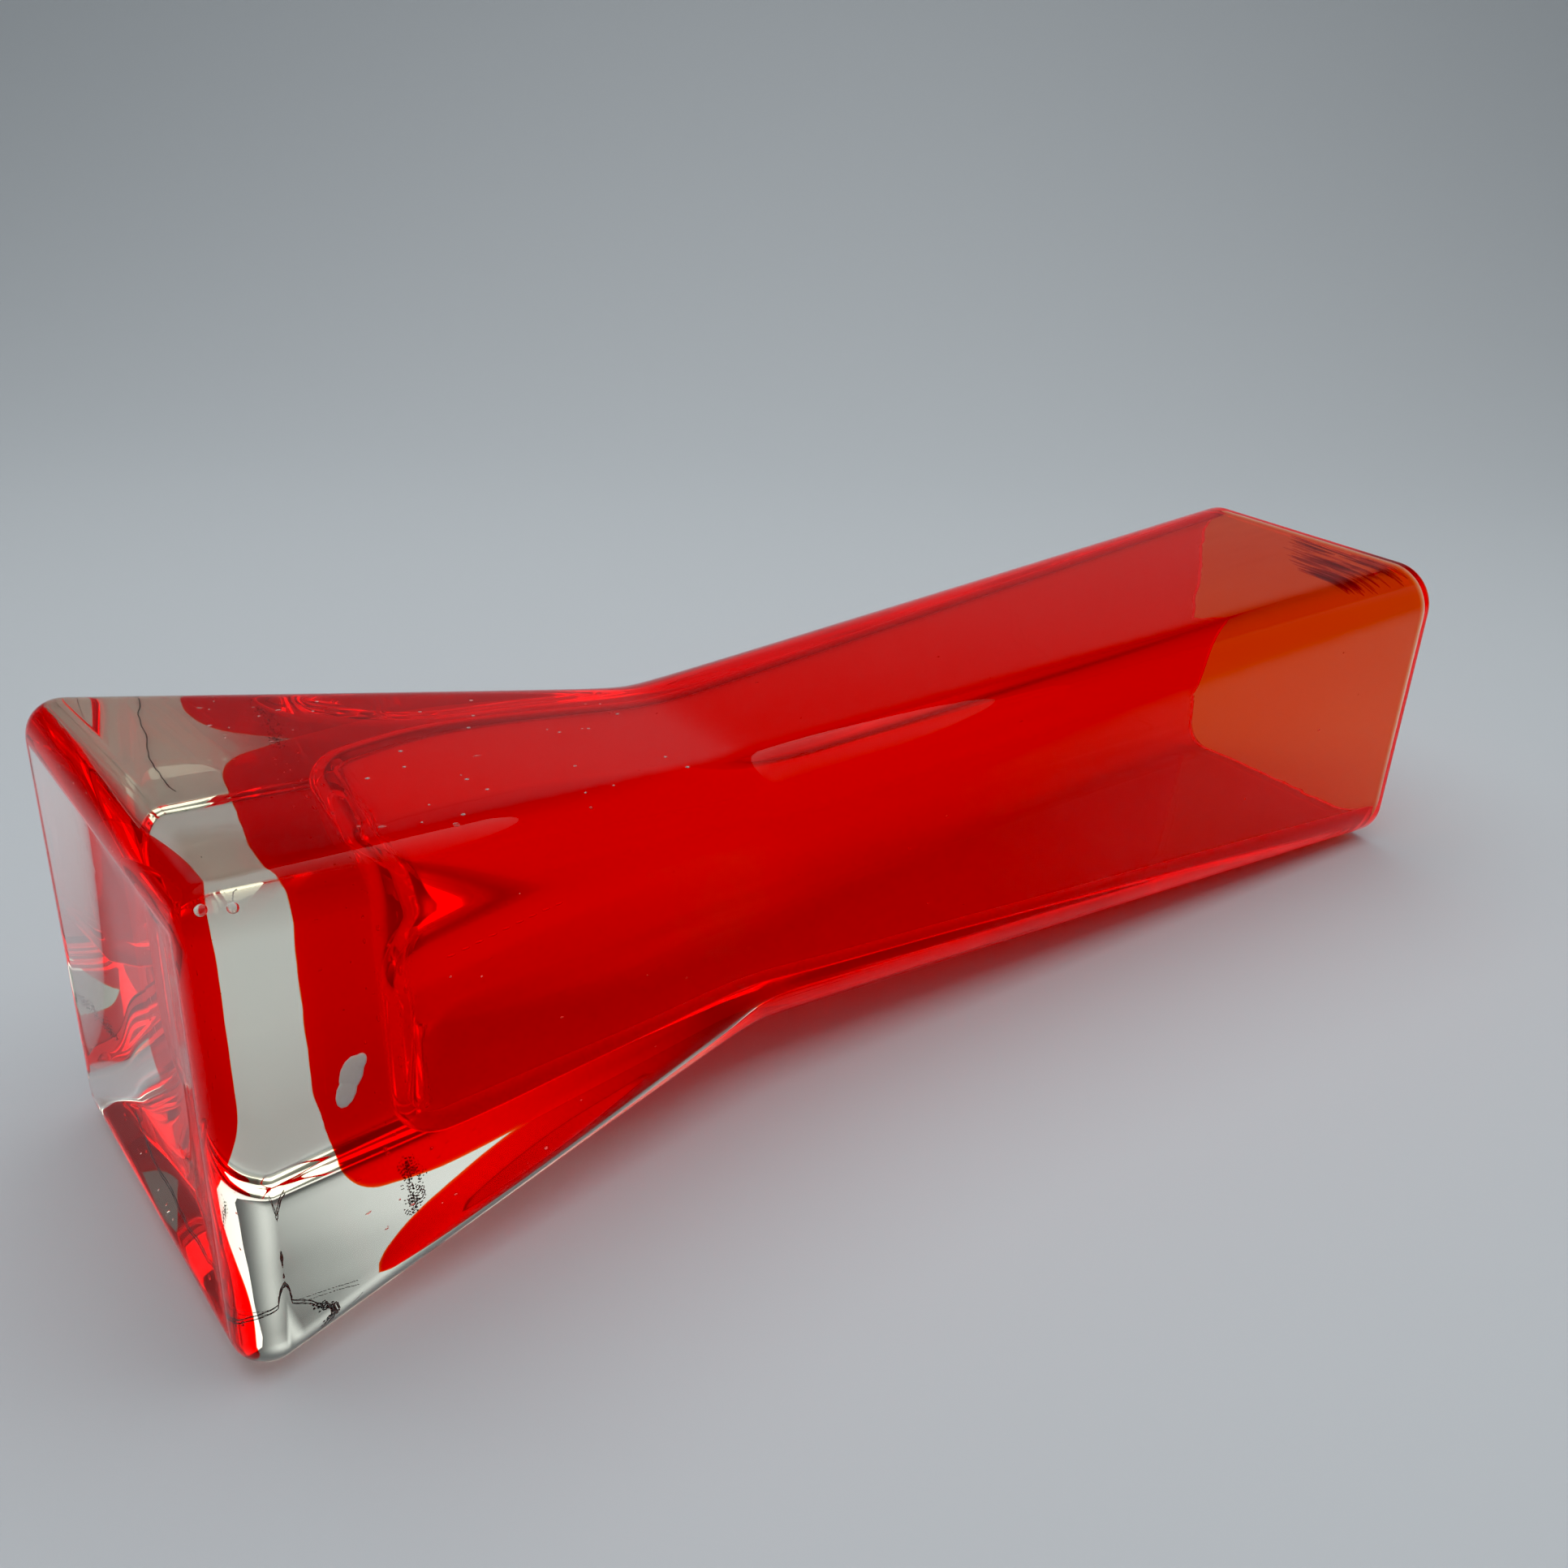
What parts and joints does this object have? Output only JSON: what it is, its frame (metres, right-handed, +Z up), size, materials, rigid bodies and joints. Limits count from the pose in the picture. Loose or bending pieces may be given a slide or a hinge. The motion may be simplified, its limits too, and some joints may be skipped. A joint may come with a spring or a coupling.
{
  "type": "vase",
  "caption": "Square waisted vase of heavy cased glass: a red lining with a deep cavity inside a thick clear outer casing and base.",
  "frame": {"origin": "centre of the base's underside, with the vase standing upright", "axes": "+Z up along the vase's axis, from the base to the mouth; X and Y across the flats of the square section"},
  "size_m": [0.0562, 0.0562, 0.2],
  "materials": {
    "clear_glass": "gloss",
    "red_glass": "gloss"
  },
  "bodies": {
    "root": {"clear_casing": "clear_glass", "red_lining": "red_glass"}
  },
  "joints": []
}
